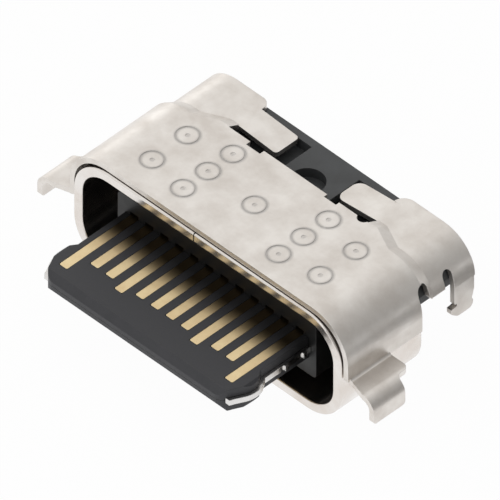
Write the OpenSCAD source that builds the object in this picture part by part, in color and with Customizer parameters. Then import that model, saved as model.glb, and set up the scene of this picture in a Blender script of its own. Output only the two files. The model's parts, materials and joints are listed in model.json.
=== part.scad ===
// Mid-mount 24-contact USB-C receptacle whose bare tongue stands out in front of its shell.
// X runs across the mouth, Y runs from the plug side into the socket, and Z is up.
// The origin is the centre of the mouth, in the plane of the shell's front edge.

/* [Mouth] */
// Clear width of the mouth
mouth_w = 8.34; // [8.2:0.02:8.4]
// Clear height of the mouth
mouth_h = 2.56; // [2.5:0.02:2.6]
// Inside radius of the mouth's corners
mouth_r = 0.85; // [0.7:0.01:1]

/* [Inner shell] */
// Wall of the rolled tube
shell_t = 0.28; // [0.25:0.01:0.3]
// Length of the tube
shell_len = 2.68; // [2.6:0.01:2.68]
// Rounding of the tube's front edges
lip_r = 0.05; // [0.03:0.01:0.1]
// Width of the butt seam along the tube's top
seam_w = 0.03; // [0.02:0.01:0.05]
// Place of the seam, measured from the middle
seam_x = -0.45; // [-0.8:0.05:-0.2]

/* [Outer cover] */
// Thickness of the stamped sheet
sheet_t = 0.15; // [0.12:0.01:0.16]
// Clearance between the tube and the cover
cover_fit = 0.03; // [0.01:0.005:0.04]
// Outside radius of the cover's shoulders
cover_r = 1.18; // [1.1:0.01:1.25]
// How far the cover's front edge stands back from the tube's
cover_setback = 0.06; // [0.02:0.01:0.1]
// How far the rear of the cover steps in
neck_drop = 0.16; // [0.1:0.01:0.17]
// Length of the sloping neck
neck_len = 0.33; // [0.28:0.01:0.36]
// Where the neck starts at the sides
neck_y = 2.74; // [2.74:0.01:2.78]
// Where the cover ends at the back
cover_end_y = 4.45; // [4.4:0.01:4.55]
// Radius of the ring that each spot weld leaves
weld_r = 0.29; // [0.24:0.01:0.32]

/* [Slot and tabs] */
// Front edge of the gap across the cover's top
slot_y = 3.05; // [3.03:0.01:3.08]
// Half of the gap's width
slot_half_w = 2.32; // [2.28:0.01:2.4]
// Front-to-back width of each retention tab
tab_w = 0.78; // [0.7:0.01:0.82]
// Space between the gap's front edge and the tabs
tab_gap = 0.31; // [0.28:0.01:0.33]
// Length of the square left tab
left_tab_len = 1.26; // [1.1:0.02:1.4]
// Length of the rounded right tab
right_tab_len = 1.4; // [1.2:0.02:1.44]
// How far the left tab is pressed down, in degrees
left_tab_tilt = 3.5; // [2:0.5:6]
// How far the right tab is pressed down, in degrees
right_tab_tilt = 6; // [3:0.5:8]

/* [Board legs] */
// Reach of the right front leg from the middle
leg_reach = 5.55; // [5.45:0.01:5.7]
// Reach of the left front leg, which is sprung out a little further
left_leg_reach = 5.65; // [5.45:0.01:5.75]
// Height of the front legs' flat stretch
leg_top_z = 0.1; // [0.05:0.01:0.15]
// Outside radius of the front legs' bend
leg_bend_r = 0.38; // [0.3:0.01:0.42]
// Lowest point of the front legs
leg_tip_z = -0.62; // [-0.8:0.01:-0.55]
// Width of a front leg at its tip
leg_tip_w = 1.05; // [0.95:0.01:1.1]
// Width of a front leg at its root
leg_root_w = 1.32; // [1.25:0.01:1.4]
// Lowest point of the rear legs
rear_leg_z = -0.4; // [-0.5:0.01:-0.35]
// Width of a rear leg
rear_leg_w = 0.65; // [0.6:0.01:0.68]

/* [Tongue] */
// Thickness of the tongue over both rows of contacts
tongue_t = 0.66; // [0.64:0.01:0.7]
// Plastic beside the outermost contacts, behind the latch notches
edge_land = 0.165; // [0.14:0.005:0.2]
// Depth of the latch notches in the tongue's sides
notch_depth = 0.185; // [0.15:0.005:0.22]
// How far the tongue stands out in front of the mouth
tongue_reach = 2.46; // [2.4:0.01:2.6]
// Length of the bevel on the tongue's front edge
bevel_len = 0.145; // [0.1:0.005:0.18]
// Height of that bevel
bevel_h = 0.2; // [0.12:0.01:0.22]
// Bevel along the tongue's cheeks
cheek_bevel = 0.07; // [0.04:0.01:0.1]
// From the tongue's front edge to its latch notches
notch_reach = 1.05; // [1:0.01:1.1]

/* [Steel mid-plate] */
// Thickness of the plate between the two rows
plate_t = 0.16; // [0.12:0.01:0.17]
// How far the plate stands out of the insulators' sides
plate_proud = 0.1; // [0.06:0.01:0.11]
// Width of each ground tail
ground_tail_w = 0.4; // [0.3:0.01:0.45]

/* [Contacts] */
// Contacts in each row
contacts = 12; // [12:1:12]
// Spacing of the contacts
pitch = 0.5; // [0.5:0.01:0.51]
// Width of a contact
contact_w = 0.25; // [0.2:0.01:0.3]
// Thickness of a contact
contact_t = 0.13; // [0.1:0.01:0.14]
// Front end of the signal contacts, measured from the mouth
signal_reach = 1.51; // [1.4:0.01:1.6]
// Front end of the power contacts
power_reach = 1.71; // [1.65:0.01:1.85]
// Front end of the ground contacts
ground_reach = 2.04; // [1.9:0.01:2.1]
// How far the upper row's feet reach behind the housing
foot_len = 0.55; // [0.4:0.01:0.7]
// Underside of the solder feet, level with the board
foot_z = -0.1; // [-0.12:0.005:-0.09]

/* [Housing] */
// Front of the step at the tongue's root
root_y = 0.33; // [0.25:0.01:0.5]
// How far the root step stands out of the tongue's sides
root_land = 0.26; // [0.2:0.01:0.4]
// Half of the root step's height
root_half_h = 0.86; // [0.6:0.01:0.95]
// Front face of the plug of plastic that closes the tube
plug_y = 1.9; // [1.7:0.02:2]
// Distance from the cover's rear edge to the housing's
housing_setback = 0.04; // [0.02:0.01:0.08]
// Half of the width of the housing's lower part
block_half_w = 3.9; // [3.85:0.01:3.95]
// Depth of the moulded pockets under the tabs
pocket_depth = 0.3; // [0.26:0.01:0.34]
// Clearance between moulded-in pieces and the plastic
insert_fit = 0.01; // [0.005:0.001:0.012]

/* [Hidden] */
$fn = 48;
far = 20;                 // longer than anything that is cut

// The shell and the cover are grown outwards from the mouth's outline.
cover_top = mouth_h / 2 + shell_t + cover_fit + sheet_t;
cover_half_w = mouth_w / 2 + shell_t + cover_fit + sheet_t;
rear_top = cover_top - neck_drop;
rear_half_w = cover_half_w - neck_drop;
corner_x = cover_half_w - cover_r;    // the shoulders' centre, the same before and behind the neck
corner_z = cover_top - cover_r;

// The neck runs straight across the top, then slants forward to the sides.
top_neck_y = slot_y + 0.02;
slant_start = 2.6;
slant_end = 3.3;
slant = atan2(neck_y - top_neck_y, slant_end - slant_start);
fold_shift = sheet_t * tan(atan(neck_drop / neck_len) / 2);

// Openings in the cover's top
slot_relief = [2.12, 3.1];
slot_relief_r = 0.17;
slot_notches = [[-1.61, 0.46, 0.14], [0.95, 0.4, 0.11]];   // left edge, width and depth of each
wings = [[-1, slot_half_w, 0.24], [1, slot_half_w - 0.22, 0.34]];   // side, inner edge, corner
tab_y = slot_y + tab_gap;
tab_bend_r = 0.25;

// Openings in the cover's sides
front_wall_end = 2.54;
relief = [2.74, 1.1];
relief_r = 0.19;
skirt_z = 0.72;           // lower edge of the short skirt between the openings
skirt_end = 3.48;
skirt_r = 0.16;
rear_leg_back = cover_end_y - 0.03;
rear_leg_front = rear_leg_back - rear_leg_w;
side_slot_top = 1.14;

// Front legs
leg_y = 0.14;             // front edge of the leg at its root
fold_r = 0.08;
leg_tip_r = 0.1;
leg_neck_r = 0.15;        // corners where the leg narrows
leg_neck_x = cover_half_w + 0.62;

// Spot welds that hold the cover on the tube
weld_y = 1.59;
weld_groove = 0.04;
weld_depth = 0.012;
weld_dot_r = 0.06;
weld_points = concat(
    [[0, weld_y]],
    [for (x = [-1.59, 1.59], y = [-0.83, 0, 0.83]) [x, weld_y + 0.04 + y]],
    [for (x = [-2.8, 2.8], y = [-0.59, 0.59]) [x, weld_y - 0.02 + y]]
);

// Tongue
skin = tongue_t / 2;      // level of the contacts' bare faces above and below the middle
tongue_end = 2.3;         // rear end of the insulators, deep in the housing
tongue_waist = contact_x(contacts) + contact_w / 2 + edge_land;
tongue_half_w = tongue_waist + notch_depth;
root_half_w = tongue_waist + root_land;
waist_y = notch_reach + 0.16 - tongue_reach;
nose_r = 0.35;
nose_c = [tongue_half_w - 0.535, nose_r - tongue_reach];   // centre of the front corner
cheek_r = 0.59;
cheek_c = [tongue_half_w - cheek_r, waist_y - 0.42];
plate_front = 0.12 - tongue_reach;
plate_end = 2.4;
plate_waist = tongue_waist + plate_proud - 0.01;
tie_bars = [-0.51, 0.1];
tie_bar_w = 0.12;
tie_bar_reach = 0.05;

// Contacts and their feet
tip_r = 0.04;
top_bend_y = 3.6;         // where the upper row turns down
low_bend_y = 2.6;         // where the lower row turns up
bend_r = 0.07;            // inside radius of the upper row's bends
foot_top = foot_z + contact_t;
low_foot_end = 3.5;
low_bend_r = (foot_z + skin - contact_t) / 2;

// Housing
housing_end = cover_end_y - housing_setback;
housing_top = rear_top - sheet_t - cover_fit;
housing_half_w = rear_half_w - sheet_t - cover_fit;
housing_bottom = foot_top + insert_fit;
block_y = shell_len + 0.02;
lower_plug_end = 2.5;
ledge_z = skirt_z + 0.02; // underside of the housing's wider upper part
tail_end = housing_end + foot_len;
tail_x = plate_waist + 0.08;   // middle of each ground tail
tail_y = 2;               // where the ground tails leave the plate, inside the plug
window = 0.1;             // relief over each contact where it enters the root step
channel_w = contact_w + 2 * insert_fit;

function contact_x(i) = (i - (contacts + 1) / 2) * pitch;
function is_ground(i) = i == 1 || i == contacts;
function is_power(i) = i == 4 || i == contacts - 3;
function reach(i) = is_ground(i) ? ground_reach : is_power(i) ? power_reach : signal_reach;
function arc(c, r, from, to, steps = 8) =
    [for (k = [0:steps]) let (a = from + (to - from) * k / steps) c + r * [cos(a), sin(a)]];
function both_sides(points) =
    concat(points, [for (k = [len(points) - 1:-1:0]) [-points[k].x, points[k].y]]);
function row_names(row) = [for (i = [1:contacts]) str(row, "_contact_", i)];

// ---- Helpers ----

// A profile drawn as [x, z], run along Y from y0 to y1.
module along_y(y0, y1) {
    translate([0, y1, 0]) rotate([90, 0, 0]) linear_extrude(y1 - y0) children();
}

// A profile drawn as [y, z], run along X from x0 to x1.
module along_x(x0, x1) {
    translate([x0, 0, 0]) rotate([90, 0, 90]) linear_extrude(x1 - x0) children();
}

// A section drawn as [radius, y], turned through the upper right quarter about a line along Y.
module round_corner(x, z) {
    translate([x, 0, z]) rotate([-90, 0, 0]) rotate([0, 0, -90]) rotate_extrude(angle = 90) children();
}

// A quarter of a ring in the plane; turned by 0 it fills the upper right quarter.
module quarter_ring(c, inner_r, outer_r, turn) {
    translate(c) rotate(turn) intersection() {
        difference() {
            circle(outer_r);
            circle(inner_r);
        }
        square(outer_r);
    }
}

module on_both_sides() {
    children();
    mirror([1, 0, 0]) children();
}

// ---- Inner shell: a thick tube rolled from strip, with a butt seam on top ----

// The wall cut along the tube: x is the depth into the wall, y runs back from the front edge.
module wall_section() {
    translate([0, lip_r]) square([shell_t, shell_len - lip_r]);
    translate([lip_r, 0]) square([shell_t - 2 * lip_r, lip_r]);
    for (x = [lip_r, shell_t - lip_r]) translate([x, lip_r]) circle(lip_r);
}

// The upper right quarter of the tube.
module shell_quarter() {
    x = mouth_w / 2 - mouth_r;
    z = mouth_h / 2 - mouth_r;
    round_corner(x, z) translate([mouth_r, 0]) wall_section();
    along_x(0, x) translate([0, mouth_h / 2]) mirror([1, -1]) wall_section();
    translate([mouth_w / 2, 0, 0]) linear_extrude(z) wall_section();
}

module inner_shell() {
    color("gainsboro") difference() {
        on_both_sides() {
            shell_quarter();
            mirror([0, 0, 1]) shell_quarter();
        }
        translate([seam_x - seam_w / 2, -1, 0]) cube([seam_w, shell_len + 2, far]);
    }
}

// ---- Outer cover: one blank of thin sheet, bent over the tube and necked behind it ----

// The sheet cut along the socket: x is Y, y is the height against the front part's outer face.
function sheet_section(start, neck, stop, squeeze = 1) = [
    [start, 0],
    [neck, 0],
    [neck + neck_len * squeeze, -neck_drop],
    [stop, -neck_drop],
    [stop, -neck_drop - sheet_t],
    [neck + (neck_len - fold_shift) * squeeze, -neck_drop - sheet_t],
    [neck - fold_shift * squeeze, -sheet_t],
    [start, -sheet_t]
];

module top_sheet(x0, x1, neck) {
    along_x(x0, x1) translate([0, cover_top])
        polygon(sheet_section(cover_setback, neck, cover_end_y));
}

// The stretch where the neck slants forward, run along the slanting fold lines.
module slanted_sheet() {
    intersection() {
        translate([slant_start, cover_setback, 0])
            cube([slant_end - slant_start, cover_end_y - cover_setback, far]);
        translate([slant_start, top_neck_y, cover_top]) rotate([0, 0, slant])
            along_x(-far, far) polygon(sheet_section(-far, 0, far, cos(slant)));
    }
}

module cover_shoulder() {
    round_corner(corner_x, corner_z)
        polygon([for (p = sheet_section(cover_setback, neck_y, cover_end_y)) [cover_r + p.y, p.x]]);
}

// What is stamped out of the top: the wide gap, its relief and notches, and the wings' corners.
module top_openings() {
    translate([-slot_half_w, slot_y]) square([2 * slot_half_w, tab_gap + tab_w]);
    translate([-wings[0][1], tab_y]) square([wings[0][1] + wings[1][1], far]);
    translate(slot_relief) circle(slot_relief_r);
    for (n = slot_notches) translate([n[0], slot_y - n[2]]) square([n[1], 2 * n[2]]);
    for (w = wings) difference() {
        translate([w[0] * (w[1] + w[2] / 2), cover_end_y]) square([w[2], 2 * w[2]], center = true);
        translate([w[0] * (w[1] + w[2]), cover_end_y - w[2]]) circle(w[2]);
    }
}

// What is stamped out of the sides, drawn as [y, z].
module side_openings() {
    slot_r = (rear_leg_front - skirt_end) / 2;
    relief_end = relief.x + relief_r;
    translate(relief) circle(relief_r);
    translate([front_wall_end, 0]) square([relief_end - front_wall_end, relief.y]);
    translate([relief_end, 0]) square([skirt_end - relief_end, skirt_z]);
    difference() {
        translate([relief_end, skirt_z]) square(skirt_r);
        translate([relief_end + skirt_r, skirt_z + skirt_r]) circle(skirt_r);
    }
    translate([skirt_end, 0]) square([2 * slot_r, side_slot_top - slot_r]);
    translate([skirt_end + slot_r, side_slot_top - slot_r]) circle(slot_r);
}

module weld_marks() {
    for (p = weld_points) translate([p.x, p.y, cover_top - weld_depth]) linear_extrude(1) {
        difference() {
            circle(weld_r + weld_groove / 2);
            circle(weld_r - weld_groove / 2);
        }
        circle(weld_dot_r);
    }
}

// A tab of sheet pressed down by a bend at its root; x runs out along it.
module retention_tab(length, tilt, corner_r) {
    outer_r = tab_bend_r + sheet_t;
    flat = length - outer_r * tilt * PI / 180;
    translate([0, 0, -outer_r]) {
        rotate([-90, 0, 0]) rotate([0, 0, -90]) rotate_extrude(angle = tilt)
            translate([tab_bend_r, 0]) square([sheet_t, tab_w]);
        rotate([0, tilt, 0]) translate([0, 0, tab_bend_r]) linear_extrude(sheet_t) {
            square([flat - corner_r, tab_w]);
            translate([flat - corner_r, corner_r]) square([corner_r, tab_w - 2 * corner_r]);
            for (y = [corner_r, tab_w - corner_r]) translate([flat - corner_r, y]) circle(corner_r);
        }
    }
}

// The flat stretch of a front leg seen from above: straight in front, shouldered behind.
module leg_plan() {
    root_end = leg_y + leg_root_w;
    polygon(concat(
        [[corner_x, leg_y], [cover_half_w + fold_r, leg_y], [leg_reach - leg_bend_r, 0], [far, 0]],
        [[far, leg_tip_w]],
        arc([leg_neck_x + leg_neck_r, leg_tip_w + leg_neck_r], leg_neck_r, 270, 180),
        arc([leg_neck_x - leg_neck_r, root_end - leg_neck_r], leg_neck_r, 0, 90),
        [[corner_x, root_end]]
    ));
}

// A front leg: folded out of the side wall, then down through the board.
module front_leg(reach) {
    bend_x = reach - leg_bend_r;
    intersection() {
        along_y(-1, 3) {
            quarter_ring([cover_half_w + fold_r, leg_top_z + fold_r], fold_r, fold_r + sheet_t, 180);
            translate([cover_half_w + fold_r, leg_top_z - sheet_t])
                square([bend_x - cover_half_w - fold_r, sheet_t]);
            quarter_ring([bend_x, leg_top_z - leg_bend_r], leg_bend_r - sheet_t, leg_bend_r, 0);
        }
        translate([0, 0, -5]) linear_extrude(10) leg_plan();
    }
    along_x(reach - sheet_t, reach) {
        translate([0, leg_tip_z + leg_tip_r])
            square([leg_tip_w, leg_top_z - leg_bend_r - leg_tip_z - leg_tip_r]);
        translate([leg_tip_r, leg_tip_z]) square([leg_tip_w - 2 * leg_tip_r, leg_tip_r]);
        for (y = [leg_tip_r, leg_tip_w - leg_tip_r]) translate([y, leg_tip_z + leg_tip_r]) circle(leg_tip_r);
    }
}

// A rear leg drawn as [y, z], with the barb that grips the edge of the board's hole.
module rear_leg_outline() {
    foot_r = 0.16;
    barb = 0.11;
    notch = 0.08;
    waist = 0.07;     // how far the leg's back edge leans in above the foot
    back = rear_leg_back - waist / 2;
    polygon(concat(
        [[rear_leg_front, corner_z], [rear_leg_front, 0.03], [rear_leg_front + notch, 0.01]],
        [[rear_leg_front + notch, -0.05], [rear_leg_front, -0.07], [rear_leg_front - barb, -0.08]],
        arc([rear_leg_front - barb + 0.06, -0.2], 0.06, 180, 220, 3),
        arc([rear_leg_front + foot_r, rear_leg_z + foot_r], foot_r, 225, 270, 4),
        arc([back - foot_r, rear_leg_z + foot_r], foot_r, 270, 350),
        [[back, -0.2], [rear_leg_back - waist, -0.13], [rear_leg_back - waist, -0.09]],
        [[rear_leg_back, 0.16], [rear_leg_back, corner_z]]
    ));
}

module front_wall_outline() {
    difference() {
        translate([cover_setback, leg_top_z])
            square([front_wall_end - cover_setback, corner_z - leg_top_z]);
        translate([leg_y, leg_top_z - 1]) square([leg_root_w, 1 + fold_r]);
    }
}

module outer_cover() {
    color("silver") {
        difference() {
            union() {
                top_sheet(-slant_start, slant_start, top_neck_y);
                on_both_sides() {
                    slanted_sheet();
                    top_sheet(slant_end, corner_x, neck_y);
                    cover_shoulder();
                }
            }
            translate([0, 0, 1]) linear_extrude(far) top_openings();
            on_both_sides() along_x(slant_end, far) side_openings();
            weld_marks();
        }
        on_both_sides() {
            along_x(cover_half_w - sheet_t, cover_half_w) front_wall_outline();
            along_x(rear_half_w - sheet_t, rear_half_w) rear_leg_outline();
        }
        front_leg(leg_reach);
        mirror([1, 0, 0]) front_leg(left_leg_reach);
        translate([-slot_half_w, tab_y, rear_top]) retention_tab(left_tab_len, left_tab_tilt, 0.1);
        mirror([1, 0, 0]) translate([-slot_half_w, tab_y, rear_top])
            retention_tab(right_tab_len, right_tab_tilt, 0.24);
    }
}

// ---- Tongue ----

// The tongue from above, grown by a distance on its outer sides.
function tongue_outline(grow, waist, stop) = both_sides(concat(
    arc(nose_c, nose_r + grow, 270, 345),
    arc(cheek_c, cheek_r + grow, 330, 380),
    [[waist, waist_y + grow / 2], [waist, stop]]
));

// One half of the tongue's plastic, with a channel for every contact of its row.
module insulator() {
    nose_step = insert_fit / 2;
    under = plate_t / 2 + insert_fit;
    difference() {
        intersection() {
            linear_extrude(far) polygon(tongue_outline(0, tongue_waist, tongue_end));
            along_y(-far, far) polygon(both_sides([
                [tongue_half_w, 0],
                [tongue_half_w, skin - cheek_bevel],
                [tongue_half_w - cheek_bevel, skin],
                [tongue_half_w - cheek_bevel, far]
            ]));
            along_x(-far, far) polygon([
                [-tongue_reach, nose_step],
                [-tongue_reach, skin - bevel_h],
                [bevel_len - tongue_reach, skin],
                [far, skin],
                [far, under],
                [plate_front - insert_fit, under],
                [plate_front - insert_fit, nose_step]
            ]);
        }
        for (i = [1:contacts]) translate([
            contact_x(i) - channel_w / 2,
            -reach(i) - insert_fit,
            skin - contact_t - insert_fit
        ]) cube([channel_w, far, 1]);
    }
}

module upper_insulator() {
    color("dimgray") insulator();
}

module lower_insulator() {
    color("dimgray") mirror([0, 0, 1]) insulator();
}

// Steel plate between the rows: it stiffens the tongue, latches the plug and grounds both.
module mid_plate() {
    color("lightgray") translate([0, 0, -plate_t / 2]) linear_extrude(plate_t) {
        intersection() {
            polygon(tongue_outline(plate_proud, plate_waist, plate_end));
            translate([-far / 2, plate_front]) square(far);
        }
        for (s = [-1, 1], y = tie_bars)
            translate([s * (plate_waist + tie_bar_reach / 2), y]) square([tie_bar_reach, tie_bar_w], center = true);
        for (s = [-1, 1]) translate([s * tail_x - ground_tail_w / 2, tail_y])
            square([ground_tail_w, tail_end - tail_y]);
    }
}

// ---- Contacts ----

// The bare stretch of a contact, with rounded tip corners.
module contact_blade(i, stop) {
    translate([contact_x(i) - contact_w / 2, -reach(i), skin - contact_t]) linear_extrude(contact_t) {
        translate([0, tip_r]) square([contact_w, reach(i) + stop - tip_r]);
        translate([tip_r, 0]) square([contact_w - 2 * tip_r, tip_r]);
        for (x = [tip_r, contact_w - tip_r]) translate([x, tip_r]) circle(tip_r);
    }
}

// Top row: over the tongue, down behind the housing's core and out to feet at the back.
module upper_contact(i) {
    outer_r = bend_r + contact_t;
    step_y = top_bend_y + outer_r + bend_r;
    step_z = foot_top + bend_r;
    color("gold") {
        contact_blade(i, top_bend_y);
        along_x(contact_x(i) - contact_w / 2, contact_x(i) + contact_w / 2) {
            quarter_ring([top_bend_y, skin - outer_r], bend_r, outer_r, 0);
            translate([top_bend_y + bend_r, step_z]) square([contact_t, skin - outer_r - step_z]);
            quarter_ring([step_y, step_z], bend_r, outer_r, 180);
            translate([step_y, foot_z]) square([tail_end - step_y, contact_t]);
        }
    }
}

// Bottom row: under the tongue, then up to short feet below the housing.
module lower_contact(i) {
    outer_r = low_bend_r + contact_t;
    step_y = low_bend_y + outer_r + low_bend_r;
    step_z = low_bend_r + contact_t - skin;
    color("gold") {
        mirror([0, 0, 1]) contact_blade(i, low_bend_y);
        along_x(contact_x(i) - contact_w / 2, contact_x(i) + contact_w / 2) {
            quarter_ring([low_bend_y, step_z], low_bend_r, outer_r, 270);
            quarter_ring([step_y, step_z], low_bend_r, outer_r, 90);
            translate([step_y, foot_z]) square([low_foot_end - step_y, contact_t]);
        }
    }
}

// ---- Housing ----

module rounded_bar(half_w, half_h, r) {
    square([2 * half_w, 2 * (half_h - r)], center = true);
    square([2 * (half_w - r), 2 * half_h], center = true);
    for (x = [r - half_w, half_w - r], z = [r - half_h, half_h - r]) translate([x, z]) circle(r);
}

// The rear block from behind: narrow below, as wide as the cover allows above.
module block_outline() {
    r = cover_r - neck_drop - sheet_t;
    translate([-block_half_w, housing_bottom])
        square([2 * block_half_w, housing_top - r - housing_bottom]);
    translate([-housing_half_w, ledge_z]) square([2 * housing_half_w, housing_top - r - ledge_z]);
    translate([r - housing_half_w, housing_top - r]) square([2 * (housing_half_w - r), r]);
    for (s = [-1, 1]) translate([s * (housing_half_w - r), housing_top - r]) circle(r);
}

// The mouth's outline less a fit, for the plastic that closes the tube.
module plug_outline() {
    rounded_bar(mouth_w / 2 - insert_fit, mouth_h / 2 - insert_fit, mouth_r - insert_fit);
}

// Room for both insulators and for the plate between them.
module tongue_room() {
    half_w = tongue_waist + insert_fit;
    translate([-half_w, -1, -skin - insert_fit])
        cube([2 * half_w, 1 + tongue_end + insert_fit, tongue_t + 2 * insert_fit]);
    translate([0, 0, -plate_t / 2 - insert_fit]) linear_extrude(plate_t + 2 * insert_fit) {
        translate([-plate_waist - insert_fit, -1])
            square([2 * (plate_waist + insert_fit), 1 + plate_end + insert_fit]);
        for (s = [-1, 1]) translate([s * tail_x - ground_tail_w / 2 - insert_fit, tail_y - insert_fit])
            square([ground_tail_w + 2 * insert_fit, far]);
    }
}

// Room for one contact of each row, and the window where each enters the root step.
module contact_room(i) {
    x = contact_x(i) - channel_w / 2;
    deep = contact_t + 2 * insert_fit;
    step_y = top_bend_y + contact_t + 2 * bend_r + insert_fit;
    translate([x, plug_y, skin - contact_t - insert_fit]) cube([channel_w, step_y - plug_y, deep]);
    translate([x, top_bend_y - insert_fit, -1])
        cube([channel_w, step_y - top_bend_y + insert_fit, 1 + skin + insert_fit]);
    translate([x, plug_y, -skin - insert_fit]) cube([channel_w, far, deep]);
    translate([x, root_y - 1, -skin - window]) cube([channel_w, 1.15, tongue_t + 2 * window]);
}

// Pockets moulded into the top: one under each tab, and a round one in the middle.
module top_pockets() {
    pocket_y = block_y + 0.1;
    pocket_end = tab_y + tab_w + 0.05;
    right_pocket = slot_half_w - right_tab_len - 0.04;
    translate([0, 0, housing_top - pocket_depth]) linear_extrude(far) {
        translate([-slot_half_w, pocket_y]) square([slot_half_w - 0.7, pocket_end - pocket_y]);
        translate([right_pocket, pocket_y]) square([slot_half_w - right_pocket, pocket_end - pocket_y]);
        translate([0.05, slot_y + 0.23]) circle(0.46);
    }
}

module housing() {
    color("darkslategray") difference() {
        union() {
            along_y(root_y, plug_y) rounded_bar(root_half_w, root_half_h, 0.12);
            along_y(plug_y, lower_plug_end) plug_outline();
            along_y(lower_plug_end, block_y) intersection() {
                plug_outline();
                translate([-far / 2, housing_bottom]) square(far);
            }
            along_y(block_y, housing_end) block_outline();
        }
        tongue_room();
        for (i = [1:contacts]) contact_room(i);
        top_pockets();
    }
}

inner_shell();
outer_cover();
housing();
upper_insulator();
lower_insulator();
mid_plate();
for (i = [1:contacts]) {
    upper_contact(i);
    lower_contact(i);
}
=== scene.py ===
# %% [markdown]
# # A mid-mount USB-C socket, dressed for a studio picture
# The socket is a small stamped-metal assembly: a thick rolled tube forms the mouth, a thin
# sheet cover is welded over it, and a plastic tongue with two rows of gold contacts stands
# out in front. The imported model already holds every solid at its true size, so this script
# gives each one its finish, then sets the camera, the floor and the light around it.

# %% Load the fixed frame
import json
import math
import bpy
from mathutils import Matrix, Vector


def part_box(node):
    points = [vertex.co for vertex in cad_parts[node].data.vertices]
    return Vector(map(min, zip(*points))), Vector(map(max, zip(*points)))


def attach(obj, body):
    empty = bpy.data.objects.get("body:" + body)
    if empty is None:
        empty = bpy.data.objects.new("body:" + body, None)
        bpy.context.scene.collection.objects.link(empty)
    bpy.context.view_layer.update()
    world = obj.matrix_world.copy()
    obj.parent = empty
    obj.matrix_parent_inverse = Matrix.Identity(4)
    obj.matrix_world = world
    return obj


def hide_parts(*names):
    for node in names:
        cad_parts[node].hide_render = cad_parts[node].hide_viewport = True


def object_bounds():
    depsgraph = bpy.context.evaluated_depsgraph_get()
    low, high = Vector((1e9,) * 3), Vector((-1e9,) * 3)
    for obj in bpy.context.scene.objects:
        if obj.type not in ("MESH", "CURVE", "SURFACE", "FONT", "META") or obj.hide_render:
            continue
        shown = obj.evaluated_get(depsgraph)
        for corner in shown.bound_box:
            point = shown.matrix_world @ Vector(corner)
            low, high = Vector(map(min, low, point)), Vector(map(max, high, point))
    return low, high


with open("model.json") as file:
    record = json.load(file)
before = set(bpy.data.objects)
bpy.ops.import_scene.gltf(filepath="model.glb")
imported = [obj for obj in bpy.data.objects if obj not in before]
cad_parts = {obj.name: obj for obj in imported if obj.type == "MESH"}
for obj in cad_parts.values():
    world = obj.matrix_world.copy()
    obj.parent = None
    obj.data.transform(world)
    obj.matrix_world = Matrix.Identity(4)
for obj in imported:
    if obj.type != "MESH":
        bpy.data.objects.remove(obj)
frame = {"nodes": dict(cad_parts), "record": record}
cad_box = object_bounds()
MM = 0.001
nodes = frame["nodes"]
print("pieces:", len(nodes), "box:", [round(v / MM, 2) for corner in cad_box for v in corner])

# %% [markdown]
# ## Camera
# A small part is usually pictured with a long lens from a distance, which shows it almost
# without perspective. An orthographic camera gives that look exactly: one width in
# millimetres decides how large the socket appears, wherever the camera stands.

# %% Place the camera
AZIMUTH, ELEVATION = math.radians(45.0), math.radians(43.44)
VIEW_WIDTH = 11.767 * MM
CAMERA_DISTANCE = 60        # mm
LOOK_AT = Vector((-0.286, 1.716, 0.0)) * MM
back = Vector((
    math.sin(AZIMUTH) * math.cos(ELEVATION),
    -math.cos(AZIMUTH) * math.cos(ELEVATION),
    math.sin(ELEVATION),
))
bpy.ops.object.camera_add(location=LOOK_AT + back * CAMERA_DISTANCE * MM)
camera = bpy.context.object
camera.name = "studio_camera"
camera.rotation_mode = "QUATERNION"
camera.rotation_quaternion = (-back).to_track_quat("-Z", "Y")
camera.data.type = "ORTHO"
camera.data.ortho_scale = VIEW_WIDTH
camera.data.clip_start, camera.data.clip_end = 1 * MM, 1000 * MM
bpy.context.scene.camera = camera
bpy.context.scene.view_settings.view_transform = "Standard"
print("camera at", [round(v / MM, 1) for v in camera.location])

# %% [markdown]
# ## Floor
# The socket rests on a pale sheet. What the camera and the polished metal see of it is
# nearly pure white, while the light that it throws back stays that of pale paper, so the
# background is clean and the socket still has a faint shadow under it.

# %% Lay the floor
FLOOR_SIZE, FLOOR_GAP = 600 * MM, 0.004 * MM
PAPER_GREY, PAPER_ROUGHNESS = 0.86, 0.9
SHARE_OF_WHITE = 0.97        # the rest is real paper, and carries the shadow
bpy.ops.mesh.primitive_plane_add(size=FLOOR_SIZE, location=(0, 0, cad_box[0].z - FLOOR_GAP))
floor = bpy.context.object
floor.name = "paper_floor"


def fresh_material(name):
    """An empty node material, with its output node."""
    material = bpy.data.materials.new(name)
    material.use_nodes = True
    material.node_tree.nodes.clear()
    return material, material.node_tree.nodes.new("ShaderNodeOutputMaterial")


def seen_directly(tree, strength):
    """A factor: strength for what the camera or a shiny surface sees, and 0 otherwise."""
    path = tree.nodes.new("ShaderNodeLightPath")
    either = tree.nodes.new("ShaderNodeMath")
    either.operation = "MAXIMUM"
    tree.links.new(path.outputs["Is Camera Ray"], either.inputs[0])
    tree.links.new(path.outputs["Is Glossy Ray"], either.inputs[1])
    share = tree.nodes.new("ShaderNodeMath")
    share.operation = "MULTIPLY"
    share.inputs[1].default_value = strength
    tree.links.new(either.outputs[0], share.inputs[0])
    return share.outputs[0]


def matte_shader(tree, grey):
    """A plain rough surface of one grey."""
    shader = tree.nodes.new("ShaderNodeBsdfPrincipled")
    shader.inputs["Base Color"].default_value = (grey, grey, grey, 1)
    shader.inputs["Roughness"].default_value = PAPER_ROUGHNESS
    return shader.outputs[0]


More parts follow.
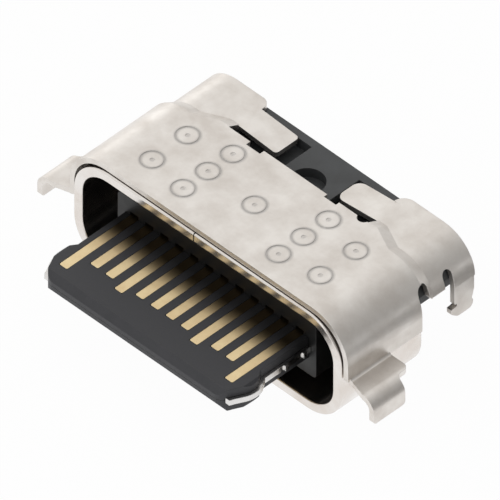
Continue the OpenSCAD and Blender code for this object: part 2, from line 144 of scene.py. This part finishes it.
paper, paper_out = fresh_material("white_paper")
tree = paper.node_tree
paper_glow = tree.nodes.new("ShaderNodeEmission")
paper_glow.inputs["Strength"].default_value = 1.0
paper_mix = tree.nodes.new("ShaderNodeMixShader")
tree.links.new(seen_directly(tree, SHARE_OF_WHITE), paper_mix.inputs["Fac"])
tree.links.new(matte_shader(tree, PAPER_GREY), paper_mix.inputs[1])
tree.links.new(paper_glow.outputs[0], paper_mix.inputs[2])
tree.links.new(paper_mix.outputs[0], paper_out.inputs["Surface"])
floor.data.materials.append(paper)
print("floor at Z", round(floor.location.z / MM, 3), "mm")

# %% [markdown]
# ## Grey card
# On white paper alone, a polished side would be one flat white. In a product studio a low
# grey card stands just outside the picture, and its reflection draws a grey band along a
# rounded shoulder. Here it stands to the right of the main view, along the line of sight.
# The camera doesn't see the card itself, so it blocks no other view.

# %% Stand the card
CARD_PLACE, CARD_SIZE = (5.9, 5.9, -0.45), (18, 0.3, 2.2)        # mm
CARD_TURN = math.radians(-45)
CARD_GREY = 0.5
bpy.ops.object.select_all(action="DESELECT")
bpy.ops.mesh.primitive_cube_add(
    size=1, location=[v * MM for v in CARD_PLACE], rotation=(0, 0, CARD_TURN))
card = bpy.context.object
card.name = "grey_card"
card.scale = [v * MM for v in CARD_SIZE]
bpy.ops.object.transform_apply(location=True, rotation=True, scale=True)
card.visible_camera = False
card_grey, card_out = fresh_material("card_grey")
tree = card_grey.node_tree
tree.links.new(matte_shader(tree, CARD_GREY), card_out.inputs["Surface"])
card.data.materials.append(card_grey)
print("grey card:", CARD_SIZE, "mm")

# %% [markdown]
# ## Light
# Satin metal shows the room more than the lamps. A light tent is bright overhead and
# greyer near the horizon, and that grey is what draws the shading along the socket's
# rounded shoulders. The world is a smooth ramp from grey to white along a line that leans
# to the left, so the right shoulder falls off into grey. Two large soft lamps, placed where
# the flat top doesn't mirror them, lift the left edge and the front.

# %% Light the tent
TENT_LEAN = (-0.80, 0.0, 0.60)        # points from the dark side to the bright one
TENT = [(0.0, 0.40), (0.22, 0.36), (0.48, 0.50), (0.68, 0.70), (0.86, 0.92), (1.0, 0.96)]
GREEN_SHARE, BLUE_SHARE = 0.992, 0.98        # the tent's light is slightly warm
world = bpy.data.worlds.new("light_tent")
bpy.context.scene.world = world
world.use_nodes = True
tree = world.node_tree
tree.nodes.clear()
direction = tree.nodes.new("ShaderNodeTexCoord")
along = tree.nodes.new("ShaderNodeVectorMath")
along.operation = "DOT_PRODUCT"
along.inputs[1].default_value = TENT_LEAN
to_unit = tree.nodes.new("ShaderNodeMapRange")
to_unit.inputs["From Min"].default_value = -1.0
ramp = tree.nodes.new("ShaderNodeValToRGB")
ramp.color_ramp.interpolation = "EASE"
for k, (place, grey) in enumerate(TENT):
    stop = ramp.color_ramp.elements[k] if k < 2 else ramp.color_ramp.elements.new(place)
    stop.position = place
    stop.color = (grey, grey * GREEN_SHARE, grey * BLUE_SHARE, 1)
tent_light = tree.nodes.new("ShaderNodeBackground")
tent_out = tree.nodes.new("ShaderNodeOutputWorld")
tree.links.new(direction.outputs["Generated"], along.inputs[0])
tree.links.new(along.outputs["Value"], to_unit.inputs["Value"])
tree.links.new(to_unit.outputs["Result"], ramp.inputs["Fac"])
tree.links.new(ramp.outputs["Color"], tent_light.inputs["Color"])
tree.links.new(tent_light.outputs[0], tent_out.inputs["Surface"])


def soft_lamp(name, place, size, watts):
    """A square lamp that faces the socket; place and size are in mm."""
    spot = Vector(place) * MM
    bpy.ops.object.light_add(type="AREA", location=spot)
    lamp = bpy.context.object
    lamp.name = name
    lamp.rotation_mode = "QUATERNION"
    lamp.rotation_quaternion = (-spot).to_track_quat("-Z", "Y")
    lamp.data.size = size * MM
    lamp.data.energy = watts
    print(name, "at", place)


soft_lamp("left_panel", (-74, 44, 10), 40, 0.0022)
soft_lamp("front_panel", (10, -80, 60), 50, 0.006)

# %% [markdown]
# ## Effects that several finishes share
# Real plated sheet is never one grey: the plating clouds, the roller leaves a fine grain,
# and every stamped edge is slightly rounded, so it catches a thin line of light. The rounding
# bends the normal, and a lighter colour laid along the edge is a painted highlight. Each of
# these is built once as a node group and then placed in every material with its own values.

# %% Write the start of a shared effect


def effect_group(name, inputs, outputs):
    """A shader node group with named sockets; inputs maps a name to its type and value."""
    group = bpy.data.node_groups.new(name, "ShaderNodeTree")
    for label, (kind, value) in inputs.items():
        socket = group.interface.new_socket(label, in_out="INPUT", socket_type=kind)
        if value is not None:
            socket.default_value = value
    for label, kind in outputs.items():
        group.interface.new_socket(label, in_out="OUTPUT", socket_type=kind)
    return group, group.nodes.new("NodeGroupInput"), group.nodes.new("NodeGroupOutput")


FLOAT, VECTOR = "NodeSocketFloat", "NodeSocketVector"
print("sockets:", FLOAT, VECTOR)

# %% Clouds: soft patches with finer ones inside them, from 0 to 1
CLOUD_CLEAR, CLOUD_FULL = 0.34, 0.68        # the part of the noise that is used
clouds, given, result = effect_group(
    "clouds", {"Place": (VECTOR, None), "Patches per mm": (FLOAT, 1.0)}, {"Mask": FLOAT})
scale = clouds.nodes.new("ShaderNodeMath")
scale.operation = "MULTIPLY"
scale.inputs[1].default_value = 1 / MM
noise = clouds.nodes.new("ShaderNodeTexNoise")
noise.inputs["Detail"].default_value = 4.0
noise.inputs["Roughness"].default_value = 0.6
spread = clouds.nodes.new("ShaderNodeMapRange")
spread.inputs["From Min"].default_value = CLOUD_CLEAR
spread.inputs["From Max"].default_value = CLOUD_FULL
clouds.links.new(given.outputs["Patches per mm"], scale.inputs[0])
clouds.links.new(given.outputs["Place"], noise.inputs["Vector"])
clouds.links.new(scale.outputs[0], noise.inputs["Scale"])
clouds.links.new(noise.outputs["Fac"], spread.inputs["Value"])
clouds.links.new(spread.outputs["Result"], result.inputs["Mask"])
print(clouds.name, "has", len(clouds.nodes), "nodes")

# %% Grain: fine streaks, stretched by a vector, for rolled sheet and moulded skins
grain, given, result = effect_group(
    "grain",
    {"Place": (VECTOR, None), "Lines per mm": (VECTOR, (4, 30, 30))},
    {"Height": FLOAT})
stretch = grain.nodes.new("ShaderNodeVectorMath")
stretch.operation = "MULTIPLY"
to_metres = grain.nodes.new("ShaderNodeVectorMath")
to_metres.operation = "SCALE"
to_metres.inputs["Scale"].default_value = 1 / MM
noise = grain.nodes.new("ShaderNodeTexNoise")
noise.inputs["Scale"].default_value = 1.0
noise.inputs["Detail"].default_value = 2.0
grain.links.new(given.outputs["Place"], stretch.inputs[0])
grain.links.new(given.outputs["Lines per mm"], stretch.inputs[1])
grain.links.new(stretch.outputs[0], to_metres.inputs[0])
grain.links.new(to_metres.outputs[0], noise.inputs["Vector"])
grain.links.new(noise.outputs["Fac"], result.inputs["Height"])
print(grain.name, "has", len(grain.nodes), "nodes")

# %% Edges: a rounded normal near every edge, and a mask of where those edges are, for the painted highlight
EDGE_STARTS, EDGE_IS_FULL = 0.985, 0.8        # how far the rounded and the true normal agree
edges, given, result = effect_group(
    "edges", {"Radius": (FLOAT, 0.02 * MM)}, {"Normal": VECTOR, "Mask": FLOAT})
rounded = edges.nodes.new("ShaderNodeBevel")
rounded.samples = 6
facing = edges.nodes.new("ShaderNodeNewGeometry")
agree = edges.nodes.new("ShaderNodeVectorMath")
agree.operation = "DOT_PRODUCT"
mask = edges.nodes.new("ShaderNodeMapRange")
mask.inputs["From Min"].default_value = EDGE_STARTS
mask.inputs["From Max"].default_value = EDGE_IS_FULL
edges.links.new(given.outputs["Radius"], rounded.inputs["Radius"])
edges.links.new(rounded.outputs["Normal"], agree.inputs[0])
edges.links.new(facing.outputs["Normal"], agree.inputs[1])
edges.links.new(agree.outputs["Value"], mask.inputs["Value"])
edges.links.new(rounded.outputs["Normal"], result.inputs["Normal"])
edges.links.new(mask.outputs["Result"], result.inputs["Mask"])
print("effects:", [g.name for g in bpy.data.node_groups])

# %% [markdown]
# ## One way to build every finish
# Each finish differs only in its colours, how shiny it is, and the size of its clouds and
# grain. One function places the shared effects, mixes a main and a second colour by the
# clouds, gives the edges a third, lighter colour as a painted highlight, and lets the grain
# roughen the surface.

# %% Write the function for a finish


def place_group(tree, group):
    """One use of a shared effect."""
    node = tree.nodes.new("ShaderNodeGroup")
    node.node_tree = group
    return node


def blend_colours(tree, factor, first, second):
    """A colour mix; first and second are a colour or a socket."""
    mix = tree.nodes.new("ShaderNodeMix")
    mix.data_type = "RGBA"
    tree.links.new(factor, mix.inputs["Factor"])
    for label, colour in (("A", first), ("B", second)):
        socket = [s for s in mix.inputs if s.name == label and s.type == "RGBA"][0]
        if isinstance(colour, tuple):
            socket.default_value = (*colour, 1)
        else:
            tree.links.new(colour, socket)
    return [s for s in mix.outputs if s.type == "RGBA"][0]


def ranged(tree, value, low, high):
    """Spreads a mask from 0..1 to low..high."""
    spread = tree.nodes.new("ShaderNodeMapRange")
    spread.inputs["To Min"].default_value = low
    spread.inputs["To Max"].default_value = high
    tree.links.new(value, spread.inputs["Value"])
    return spread.outputs["Result"]


def finish(name, metal, colour, second, edge, rough, patches, lines, depth, radius=0.02):
    """A finish. Colours are linear, edge is a lighter colour painted as a highlight along the
    edges, rough is (least, most), patches and lines are per mm.
    """
    material, out = fresh_material(name)
    tree = material.node_tree
    bsdf = tree.nodes.new("ShaderNodeBsdfPrincipled")
    bsdf.inputs["Metallic"].default_value = metal
    place = tree.nodes.new("ShaderNodeTexCoord").outputs["Object"]
    cloud = place_group(tree, clouds)
    cloud.inputs["Patches per mm"].default_value = patches
    streak = place_group(tree, grain)
    streak.inputs["Lines per mm"].default_value = lines
    edge_normal_and_highlight = place_group(tree, edges)
    edge_normal_and_highlight.inputs["Radius"].default_value = radius * MM
    tree.links.new(place, cloud.inputs["Place"])
    tree.links.new(place, streak.inputs["Place"])
    body = blend_colours(tree, cloud.outputs["Mask"], colour, second)
    # The lighter edge colour is a painted highlight along every edge.
    body = blend_colours(tree, edge_normal_and_highlight.outputs["Mask"], body, edge)
    tree.links.new(body, bsdf.inputs["Base Color"])
    tree.links.new(ranged(tree, cloud.outputs["Mask"], *rough), bsdf.inputs["Roughness"])
    bump = tree.nodes.new("ShaderNodeBump")
    bump.inputs["Strength"].default_value = 1.0
    bump.inputs["Distance"].default_value = depth * MM
    tree.links.new(streak.outputs["Height"], bump.inputs["Height"])
    tree.links.new(edge_normal_and_highlight.outputs["Normal"], bump.inputs["Normal"])
    tree.links.new(bump.outputs["Normal"], bsdf.inputs["Normal"])
    tree.links.new(bsdf.outputs[0], out.inputs["Surface"])
    print(name)
    return material


# %% [markdown]
# ## Marks that belong to one place
# Some details sit at a known place on the socket, so a mask read from the piece's own
# coordinates puts them there. Each spot weld leaves a grey ring and a dot on the cover.
# Deep in the mouth a real socket is nearly black, but here the bright paper and the tent
# still light it. So the depth is painted: the tube's ceiling, the plastic and the contacts
# turn dark inwards.

# %% Write one helper for arithmetic


def maths(tree, operation, first, second=None, clamp=False):
    """One Math node; an input is a number or a socket."""
    node = tree.nodes.new("ShaderNodeMath")
    node.operation = operation
    node.use_clamp = clamp
    for k, value in enumerate((first, second)):
        if isinstance(value, (int, float)):
            node.inputs[k].default_value = value
        elif value is not None:
            tree.links.new(value, node.inputs[k])
    return node.outputs[0]


# %% One weld mark: a soft grey ring round the centre, and a dot in it
RING_RADIUS, RING_SOFTNESS, DOT_RADIUS = 0.29 * MM, 0.075 * MM, 0.09 * MM
DOT_STRENGTH = 0.7
weld_mark, given, result = effect_group(
    "weld_mark",
    {"Place": (VECTOR, None), "Centre": (VECTOR, (0, 0, 0)), "Ring radius": (FLOAT, RING_RADIUS)},
    {"Mask": FLOAT})
apart = weld_mark.nodes.new("ShaderNodeVectorMath")
apart.operation = "SUBTRACT"
flat = weld_mark.nodes.new("ShaderNodeVectorMath")
flat.operation = "MULTIPLY"
flat.inputs[1].default_value = (1, 1, 0)
reach = weld_mark.nodes.new("ShaderNodeVectorMath")
reach.operation = "LENGTH"
weld_mark.links.new(given.outputs["Place"], apart.inputs[0])
weld_mark.links.new(given.outputs["Centre"], apart.inputs[1])
weld_mark.links.new(apart.outputs[0], flat.inputs[0])
weld_mark.links.new(flat.outputs[0], reach.inputs[0])
distance = reach.outputs["Value"]
from_ring = maths(weld_mark, "SUBTRACT", distance, given.outputs["Ring radius"])
off_ring = maths(weld_mark, "ABSOLUTE", from_ring)
ring_fall = maths(weld_mark, "DIVIDE", off_ring, RING_SOFTNESS)
ring = maths(weld_mark, "SUBTRACT", 1.0, ring_fall, clamp=True)
dot_fall = maths(weld_mark, "DIVIDE", distance, DOT_RADIUS)
dot = maths(weld_mark, "SUBTRACT", 1.0, dot_fall, clamp=True)
whole_mark = maths(weld_mark, "MAXIMUM", ring, maths(weld_mark, "MULTIPLY", dot, DOT_STRENGTH))
weld_mark.links.new(whole_mark, result.inputs["Mask"])
print("weld mark:", len(weld_mark.nodes), "nodes")

# %% [markdown]
# ## Where the marks are
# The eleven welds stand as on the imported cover: one in the middle, a row of three on each
# side of it, and a pair further out on each side, each in mm from the mouth's centre. The
# other masks need only a height, a depth or the way a face points, so each is a few lines
# of arithmetic on one coordinate at a time.

# %% Place the welds
WELD_MIDDLE_Y = 1.59
WELD_ROWS = [        # distance from the middle, shift of the row, places along it
    (1.59, 0.04, (-0.83, 0.0, 0.83)),
    (2.8, -0.02, (-0.59, 0.59)),
]
WELDS = [(0.0, WELD_MIDDLE_Y)]
WELDS += [(side * x, WELD_MIDDLE_Y + shift + y)
          for x, shift, along_row in WELD_ROWS for side in (-1, 1) for y in along_row]
print("welds:", len(WELDS))

# %% Write the mask for the welds
COVER_TOP_STARTS = 1.65 * MM        # what is lower belongs to the sides
WELD_STRENGTH = 0.75


def axis_of(tree, vector, axis):
    """One coordinate of a place or a direction."""
    split = tree.nodes.new("ShaderNodeSeparateXYZ")
    tree.links.new(vector, split.inputs[0])
    return split.outputs[axis]


def weld_mask(tree, place):
    """All the cover's weld marks as one mask, on its top only."""
    whole = 0.0
    for x, y in WELDS:
        mark = place_group(tree, weld_mark)
        mark.inputs["Centre"].default_value = (x * MM, y * MM, 0)
        tree.links.new(place, mark.inputs["Place"])
        whole = maths(tree, "MAXIMUM", mark.outputs["Mask"], whole)
    on_top = maths(tree, "GREATER_THAN", axis_of(tree, place, "Z"), COVER_TOP_STARTS)
    return maths(tree, "MULTIPLY", maths(tree, "MULTIPLY", whole, on_top), WELD_STRENGTH)


# %% Write the masks for depth
CEILING_STARTS, CEILING_FADE = 0.5 * MM, 0.25 * MM        # height, and depth of the fade
CEILING_TURN = -1.6        # faces fill the mask as they turn down
INSIDE_ENDS = 2.6 * MM        # further back lie the rear block and the solder feet
TONGUE_FADE = 0.9 * MM        # this far in front of the mouth the plastic starts to darken
GOLD_FADE_STARTS, GOLD_FADE = 0.85 * MM, 0.7 * MM        # in front of the mouth, and length
GOLD_DARKEST = 0.9


def ceiling_painted_shade_mask(tree, place):
    """Painted shade and dark reflection on the tube's upper inside: it faces down and lies above
    the tongue.
    """
    normal = tree.nodes.new("ShaderNodeNewGeometry").outputs["Normal"]
    above = maths(tree, "GREATER_THAN", axis_of(tree, place, "Z"), CEILING_STARTS)
    down = maths(tree, "MULTIPLY", axis_of(tree, normal, "Z"), CEILING_TURN, clamp=True)
    deep = maths(tree, "DIVIDE", axis_of(tree, place, "Y"), CEILING_FADE, clamp=True)
    return maths(tree, "MULTIPLY", maths(tree, "MULTIPLY", above, down), deep)


def plug_painted_shade_mask(tree, place):
    """Painted shade, near black, on the front of the housing, which is seen only through the
    mouth.
    """
    return maths(tree, "LESS_THAN", axis_of(tree, place, "Y"), INSIDE_ENDS)


def tongue_painted_shade_mask(tree, place):
    """Painted shade: the tongue's plastic, darker towards the mouth."""
    run = maths(tree, "ADD", axis_of(tree, place, "Y"), TONGUE_FADE)
    return maths(tree, "MULTIPLY", run, 1 / TONGUE_FADE, clamp=True)


def contact_painted_shade_mask(tree, place):
    """Painted shade and dark reflection on the contacts, brown towards the mouth and inside it.
    Their feet stay bright.
    """
    depth = axis_of(tree, place, "Y")
    run = maths(tree, "ADD", depth, GOLD_FADE_STARTS)
    run = maths(tree, "MULTIPLY", run, 1 / GOLD_FADE, clamp=True)
    inside = maths(tree, "LESS_THAN", depth, INSIDE_ENDS)
    return maths(tree, "MULTIPLY", maths(tree, "MULTIPLY", run, inside), GOLD_DARKEST)


def add_mark(material, mask, colour):
    """Lays one more colour over a finish, where the mask is."""
    tree = material.node_tree
    bsdf = next(n for n in tree.nodes if n.type == "BSDF_PRINCIPLED")
    place = next(n for n in tree.nodes if n.type == "TEX_COORD").outputs["Object"]
    where = mask(tree, place)
    below = bsdf.inputs["Base Color"].links[0].from_socket
    tree.links.new(blend_colours(tree, where, below, colour), bsdf.inputs["Base Color"])
    print(mask.__name__, "on", material.name)


# %% [markdown]
# ## The finishes
# The cover is nickel-plated stainless sheet with a satin face and faint tan clouds. The
# tube is the same plating on thicker strip, a little smoother. The plate's edge is bare
# bright steel. Both plastics are dark glass-filled nylon, the tongue's slightly blue, and
# the contacts carry a pale, soft gold plate.

# %% Mix the metals
METAL, PLASTIC = 1.0, 0.0
FINISHES = {
    "satin_sheet": finish(
        "satin_nickel_sheet", METAL,
        colour=(0.83, 0.795, 0.755), second=(0.70, 0.655, 0.61), edge=(0.86, 0.84, 0.81),
        rough=(0.34, 0.44), patches=1.3, lines=(9, 5, 9), depth=0.0022),
    "nickel_plate": finish(
        "rolled_nickel_tube", METAL,
        colour=(0.82, 0.79, 0.76), second=(0.74, 0.68, 0.63), edge=(0.88, 0.86, 0.83),
        rough=(0.18, 0.27), patches=1.1, lines=(5, 30, 30), depth=0.0005, radius=0.03),
    "bare_steel": finish(
        "bright_steel_edge", METAL,
        colour=(0.80, 0.79, 0.78), second=(0.66, 0.64, 0.62), edge=(0.9, 0.89, 0.88),
        rough=(0.15, 0.25), patches=2.5, lines=(20, 20, 8), depth=0.0004),
    "contact_gold": finish(
        "pale_gold_plate", METAL,
        colour=(0.86, 0.70, 0.42), second=(0.80, 0.62, 0.36), edge=(0.9, 0.78, 0.52),
        rough=(0.30, 0.38), patches=1.8, lines=(24, 3, 24), depth=0.00005, radius=0.012),
}

# %% Mix the plastics
FINISHES["housing_plastic"] = finish(
    "housing_nylon", PLASTIC,
    colour=(0.058, 0.062, 0.065), second=(0.048, 0.050, 0.052), edge=(0.085, 0.088, 0.09),
    rough=(0.42, 0.52), patches=1.6, lines=(22, 22, 22), depth=0.0016)
FINISHES["tongue_plastic"] = finish(
    "tongue_nylon", PLASTIC,
    colour=(0.030, 0.031, 0.036), second=(0.040, 0.040, 0.046), edge=(0.055, 0.053, 0.052),
    rough=(0.42, 0.54), patches=2.2, lines=(18, 18, 18), depth=0.0014)

# %% Lay the weld marks and the painted shade over them
WELD_GREY = (0.40, 0.385, 0.37)
# The weld grey is the welds' own colour; the other four colours paint shade and dark reflection
# deep in the mouth.
CEILING_PAINTED_SHADE, GOLD_PAINTED_SHADE = (0.10, 0.075, 0.055), (0.06, 0.035, 0.015)
PLUG_PAINTED_SHADE, TONGUE_PAINTED_SHADE = (0.004, 0.004, 0.004), (0.008, 0.008, 0.009)
add_mark(FINISHES["satin_sheet"], weld_mask, WELD_GREY)
# The next four marks are painted shade deep in the mouth.
add_mark(FINISHES["nickel_plate"], ceiling_painted_shade_mask, CEILING_PAINTED_SHADE)
add_mark(FINISHES["contact_gold"], contact_painted_shade_mask, GOLD_PAINTED_SHADE)
add_mark(FINISHES["housing_plastic"], plug_painted_shade_mask, PLUG_PAINTED_SHADE)
add_mark(FINISHES["tongue_plastic"], tongue_painted_shade_mask, TONGUE_PAINTED_SHADE)

# %% [markdown]
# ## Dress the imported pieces
# The record names a finish for every piece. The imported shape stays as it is: only its
# material slot is emptied and filled again.

# %% Give every CAD piece its finish
for row in frame["record"]["subparts"]:
    piece = nodes[row["node"]]
    piece.data.materials.clear()
    piece.data.materials.append(FINISHES[row["material_slot"]])

# %% [markdown]
# ## The housing's lower sides
# Below the cover's short skirt the real moulding is cut straight back, so light passes
# between the front wall and the rear leg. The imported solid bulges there. A copy of it is
# merged into one skin, and boxes are taken away on each side with a Boolean: a tall one
# beside the block, which leaves a square ledge under the skirt, and a low one under it.

# %% Write a helper that selects one piece


def select_only(piece):
    """An operator acts on all that is selected, so everything else is let go first."""
    bpy.ops.object.select_all(action="DESELECT")
    bpy.context.view_layer.objects.active = piece
    piece.select_set(True)


# %% Copy the housing and merge its skin
MERGE_DISTANCE = 0.0002 * MM
packed_housing = nodes["housing"]
trimmed = packed_housing.copy()
trimmed.data = packed_housing.data.copy()
trimmed.name = "trimmed_housing"
trimmed.parent = None
for key in [k for k in trimmed.keys() if k.startswith("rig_")]:
    del trimmed[key]
bpy.context.scene.collection.objects.link(trimmed)
select_only(trimmed)
bpy.ops.mesh.customdata_custom_splitnormals_clear()
bpy.ops.object.mode_set(mode="EDIT")
bpy.ops.mesh.select_all(action="SELECT")
bpy.ops.mesh.remove_doubles(threshold=MERGE_DISTANCE)
bpy.ops.object.mode_set(mode="OBJECT")
print("merged to", len(trimmed.data.vertices), "points")

# %% Write the cut
BLOCK_FRONT, CUT_BOTTOM = 2.70, -0.6        # mm, where each box starts
CUT_WIDTH, CUT_SPARE = 0.8, 0.2        # mm, how far it reaches past the block
SKIRT_LEDGE, BLOCK_SIDE = 0.74, 3.9        # mm, a height and a half width
BLOCK_FOOT, FOOT_SIDE = 0.04, 2.5
block_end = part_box("housing")[1].y / MM


def take_away(side, inner, top):
    """Cuts a box off one side, -1 or 1, from the half width inner outwards and up to top."""
    low = (inner, BLOCK_FRONT, CUT_BOTTOM)
    high = (BLOCK_SIDE + CUT_WIDTH, block_end + CUT_SPARE, top)
    middle = [(a + b) / 2 * MM for a, b in zip(low, high)]
    bpy.ops.object.select_all(action="DESELECT")
    bpy.ops.mesh.primitive_cube_add(size=1, location=(side * middle[0], middle[1], middle[2]))
    cutter = bpy.context.object
    cutter.scale = [(b - a) * MM for a, b in zip(low, high)]
    bpy.ops.object.transform_apply(location=True, scale=True)
    select_only(trimmed)
    cut = trimmed.modifiers.new("cut_back", "BOOLEAN")
    cut.operation, cut.object, cut.solver = "DIFFERENCE", cutter, "EXACT"
    bpy.ops.object.modifier_apply(modifier=cut.name)
    bpy.data.objects.remove(cutter)
    print("side", side, "cut back to", len(trimmed.data.polygons), "faces")


# %% Cut both sides
for side in (-1, 1):
    take_away(side, BLOCK_SIDE, SKIRT_LEDGE)
    take_away(side, FOOT_SIDE, BLOCK_FOOT)

# %% Finish the trimmed housing
SMOOTH_BELOW = math.radians(25)
trimmed.data.materials.clear()
trimmed.data.materials.append(FINISHES["housing_plastic"])
for face in trimmed.data.polygons:
    face.material_index = 0
select_only(trimmed)
bpy.ops.object.shade_smooth_by_angle(angle=SMOOTH_BELOW)
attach(trimmed, "root")
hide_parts("housing")
